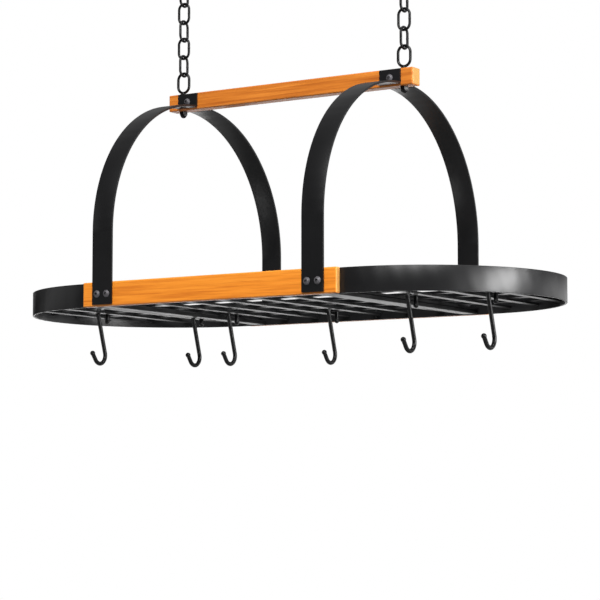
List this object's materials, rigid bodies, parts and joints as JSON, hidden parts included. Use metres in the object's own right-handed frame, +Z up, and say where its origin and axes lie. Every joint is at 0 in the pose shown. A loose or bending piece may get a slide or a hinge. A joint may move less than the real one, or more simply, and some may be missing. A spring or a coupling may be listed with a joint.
{
  "type": "hanging pot rack",
  "caption": "Oval steel pot rack with a bar shelf, wooden side rails and top bar, arched straps, ceiling chains and loose S-shaped pot hooks.",
  "frame": {"origin": "on the ceiling face, midway between the two ceiling hooks", "axes": "+X along the rack to the right as seen from the front, +Y to the rear, +Z up into the ceiling"},
  "size_m": [0.84, 0.44, 0.6392],
  "materials": {
    "black_steel": "satin",
    "chain_steel": "satin",
    "blackened_fasteners": "satin",
    "honey_wood": "satin"
  },
  "bodies": {
    "ceiling_hooks": {"left_ceiling_hook": "black_steel", "right_ceiling_hook": "black_steel"},
    "left_top_link": {"left_link_5": "chain_steel"},
    "left_chain": {"left_link_4": "chain_steel", "left_link_3": "chain_steel", "left_link_2": "chain_steel"},
    "left_bottom_link": {"left_link_1": "chain_steel"},
    "right_top_link": {"right_link_5": "chain_steel"},
    "right_chain": {"right_link_4": "chain_steel", "right_link_3": "chain_steel", "right_link_2": "chain_steel"},
    "right_bottom_link": {"right_link_1": "chain_steel"},
    "rack": {"oval_band": "black_steel", "front_wood_rail": "honey_wood", "rear_wood_rail": "honey_wood", "left_cross_bar": "black_steel", "right_cross_bar": "black_steel", "grid_short_bars": "black_steel", "grid_long_bars": "black_steel", "left_front_arch": "black_steel", "left_rear_arch": "black_steel", "right_front_arch": "black_steel", "right_rear_arch": "black_steel", "top_wood_bar": "honey_wood", "front_rail_bolts": "blackened_fasteners", "rear_rail_bolts": "blackened_fasteners", "front_rail_nuts": "blackened_fasteners", "rear_rail_nuts": "blackened_fasteners", "top_bolts": "blackened_fasteners", "top_nuts": "blackened_fasteners", "left_eye_bolt": "black_steel", "right_eye_bolt": "black_steel", "cap_nuts": "blackened_fasteners"},
    "pot_hook_1": {"pot_hook_1": "black_steel"},
    "pot_hook_2": {"pot_hook_2": "black_steel"},
    "pot_hook_3": {"pot_hook_3": "black_steel"},
    "pot_hook_4": {"pot_hook_4": "black_steel"},
    "pot_hook_5": {"pot_hook_5": "black_steel"},
    "pot_hook_6": {"pot_hook_6": "black_steel"}
  },
  "joints": [
    {"name": "swing_front_to_back", "type": "hinge", "parent": "ceiling_hooks", "child": "left_top_link", "pos_m": [-0.192, 0, -0.04115], "axis": [1, 0, 0], "range_deg": [-20, 20]},
    {"name": "swing_side_to_side", "type": "hinge", "parent": "left_top_link", "child": "left_chain", "pos_m": [-0.192, 0, -0.06675], "axis": [0, 1, 0], "range_deg": [-20, 20]},
    {"name": "left_bottom_link_turn", "type": "hinge", "parent": "left_chain", "child": "left_bottom_link", "pos_m": [-0.192, 0, -0.14275], "axis": [0, 1, 0], "range_deg": [-20, 20]},
    {"name": "rack_rock", "type": "hinge", "parent": "left_bottom_link", "child": "rack", "pos_m": [-0.192, 0, -0.16935], "axis": [1, 0, 0], "range_deg": [-15, 15]},
    {"name": "right_top_link_swing", "type": "hinge", "parent": "ceiling_hooks", "child": "right_top_link", "pos_m": [0.192, 0, -0.04115], "axis": [1, 0, 0], "range_deg": [-20, 20]},
    {"name": "right_chain_swing", "type": "hinge", "parent": "right_top_link", "child": "right_chain", "pos_m": [0.192, 0, -0.06675], "axis": [0, 1, 0], "range_deg": [-20, 20]},
    {"name": "right_bottom_link_turn", "type": "hinge", "parent": "right_chain", "child": "right_bottom_link", "pos_m": [0.192, 0, -0.14275], "axis": [0, 1, 0], "range_deg": [-20, 20]},
    {"name": "pot_hook_1_swing", "type": "hinge", "parent": "rack", "child": "pot_hook_1", "pos_m": [-0.3203, -0.02871, -0.52952], "axis": [1, 0, 0], "range_deg": [-45, 45]},
    {"name": "pot_hook_2_swing", "type": "hinge", "parent": "rack", "child": "pot_hook_2", "pos_m": [-0.2266, 0.08614, -0.52952], "axis": [1, 0, 0], "range_deg": [-45, 45]},
    {"name": "pot_hook_3_swing", "type": "hinge", "parent": "rack", "child": "pot_hook_3", "pos_m": [-0.1607, 0.08614, -0.52952], "axis": [1, 0, 0], "range_deg": [-45, 45]},
    {"name": "pot_hook_4_swing", "type": "hinge", "parent": "rack", "child": "pot_hook_4", "pos_m": [-0.0172, 0.14357, -0.52952], "axis": [1, 0, 0], "range_deg": [-45, 45]},
    {"name": "pot_hook_5_swing", "type": "hinge", "parent": "rack", "child": "pot_hook_5", "pos_m": [0.2192, -0.02871, -0.52952], "axis": [1, 0, 0], "range_deg": [-45, 45]},
    {"name": "pot_hook_6_swing", "type": "hinge", "parent": "rack", "child": "pot_hook_6", "pos_m": [0.3439, -0.02871, -0.52952], "axis": [1, 0, 0], "range_deg": [-45, 45]}
  ],
  "couplings": [
    {"joint": "left_bottom_link_turn", "follows": "swing_side_to_side", "ratio": -1},
    {"joint": "right_chain_swing", "follows": "swing_side_to_side", "ratio": 1},
    {"joint": "right_bottom_link_turn", "follows": "swing_side_to_side", "ratio": -1},
    {"joint": "right_top_link_swing", "follows": "swing_front_to_back", "ratio": 1}
  ]
}
